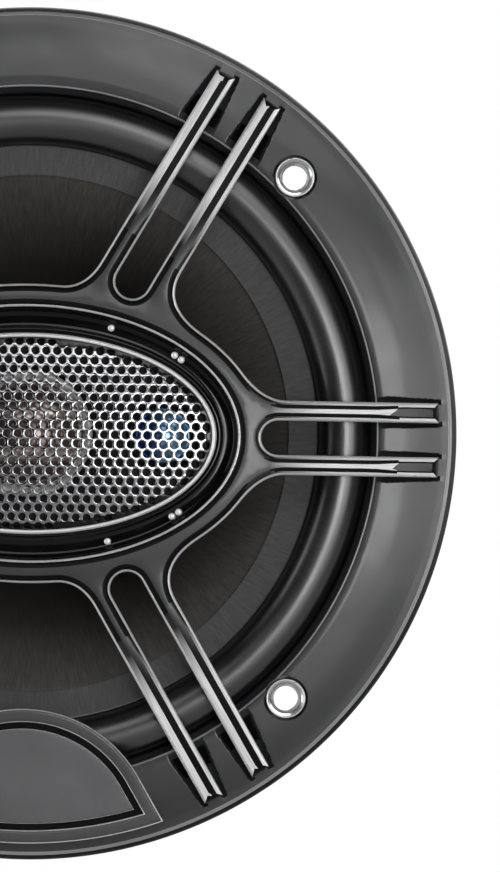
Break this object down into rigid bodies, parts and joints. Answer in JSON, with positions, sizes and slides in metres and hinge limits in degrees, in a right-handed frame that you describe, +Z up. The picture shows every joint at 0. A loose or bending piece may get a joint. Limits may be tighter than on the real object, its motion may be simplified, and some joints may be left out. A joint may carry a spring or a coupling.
{
  "type": "coaxial car speaker",
  "caption": "Round coaxial car speaker: woofer behind an open bar grille, with an oval mesh pod of tweeters at its centre, for a door panel.",
  "frame": {"origin": "on the speaker's axis, in the plane where the back of the gasket meets the door panel", "axes": "-Y is the way the speaker faces, +Y points into the door, +Z is up with the badge at the bottom, +X is to the right as the listener sees it"},
  "size_m": [0.18, 0.0758, 0.18],
  "materials": {
    "satin_black": "satin black moulded ABS",
    "gloss_black": "gloss black moulded ABS",
    "badge_grey": "dark grey satin plate, plain",
    "mesh_steel": "perforated steel sheet, plated",
    "foam": "closed-cell foam",
    "painted_steel": "black powder coat on stamped steel",
    "zinc_steel": "zinc plated steel",
    "ferrite": "sintered ferrite, matte dark grey",
    "surround_rubber": "glossy black butyl rubber",
    "cone_poly": "matte injection-moulded polypropylene",
    "spider_cloth": "resin-treated cotton",
    "kapton": "amber polyimide film",
    "copper": "enamelled copper",
    "tinned_brass": "tin plated brass",
    "phenolic": "brown phenolic board",
    "rose_dome": "pinkish vapour-coated diaphragm",
    "blue_dome": "blue metallised film",
    "wire_black": "black PVC insulation",
    "capacitor_sleeve": "dark blue sleeve"
  },
  "bodies": {
    "chassis": {"trim_ring": "satin_black", "grille_bridge": "satin_black", "mesh_bezel": "gloss_black", "mesh_screen": "mesh_steel", "badge_frame": "satin_black", "badge_plate": "badge_grey", "mounting_gasket": "foam", "basket": "painted_steel", "basket_rivet_1": "zinc_steel", "basket_rivet_2": "zinc_steel", "basket_rivet_3": "zinc_steel", "basket_rivet_4": "zinc_steel", "surround": "surround_rubber", "spider": "spider_cloth", "top_plate": "zinc_steel", "ferrite_magnet": "ferrite", "pole_yoke": "zinc_steel", "tweeter_post": "zinc_steel", "post_nut": "zinc_steel", "pod_housing": "satin_black", "tweeter_baffle": "satin_black", "tweeter_faceplate": "zinc_steel", "tweeter_cup": "zinc_steel", "tweeter_magnet": "ferrite", "tweeter_top_plate": "zinc_steel", "left_supertweeter_ring": "satin_black", "left_supertweeter_capsule": "ferrite", "left_capacitor": "capacitor_sleeve", "right_supertweeter_ring": "satin_black", "right_supertweeter_capsule": "ferrite", "right_capacitor": "capacitor_sleeve", "terminal_board": "phenolic", "terminal_positive": "tinned_brass", "terminal_positive_rivet": "zinc_steel", "terminal_negative": "tinned_brass", "terminal_negative_rivet": "zinc_steel", "tweeter_lead": "wire_black", "tinsel_lead_positive": "copper", "tinsel_lead_negative": "copper"},
    "woofer_diaphragm": {"cone": "cone_poly", "dust_ring": "cone_poly", "coil_former": "kapton", "voice_coil": "copper"},
    "tweeter_diaphragm": {"tweeter_dome": "rose_dome", "tweeter_coil": "copper"},
    "left_supertweeter_diaphragm": {"left_supertweeter_dome": "blue_dome"},
    "right_supertweeter_diaphragm": {"right_supertweeter_dome": "blue_dome"}
  },
  "joints": [
    {"name": "woofer_cone_travel", "type": "slide", "parent": "chassis", "child": "woofer_diaphragm", "axis": [0, -1, 0], "range_m": [-0.0035, 0.0035], "stiffness_N_per_m": 1700, "deforming": ["surround", "spider", "tinsel_lead_positive", "tinsel_lead_negative"]},
    {"name": "tweeter_dome_travel", "type": "slide", "parent": "chassis", "child": "tweeter_diaphragm", "axis": [0, -1, 0], "range_m": [-0.0003, 0.0003], "stiffness_N_per_m": 2000},
    {"name": "left_supertweeter_dome_travel", "type": "slide", "parent": "chassis", "child": "left_supertweeter_diaphragm", "axis": [0, -1, 0], "range_m": [-0.0002, 0.0002], "stiffness_N_per_m": 2000},
    {"name": "right_supertweeter_dome_travel", "type": "slide", "parent": "chassis", "child": "right_supertweeter_diaphragm", "axis": [0, -1, 0], "range_m": [-0.0002, 0.0002], "stiffness_N_per_m": 2000}
  ]
}
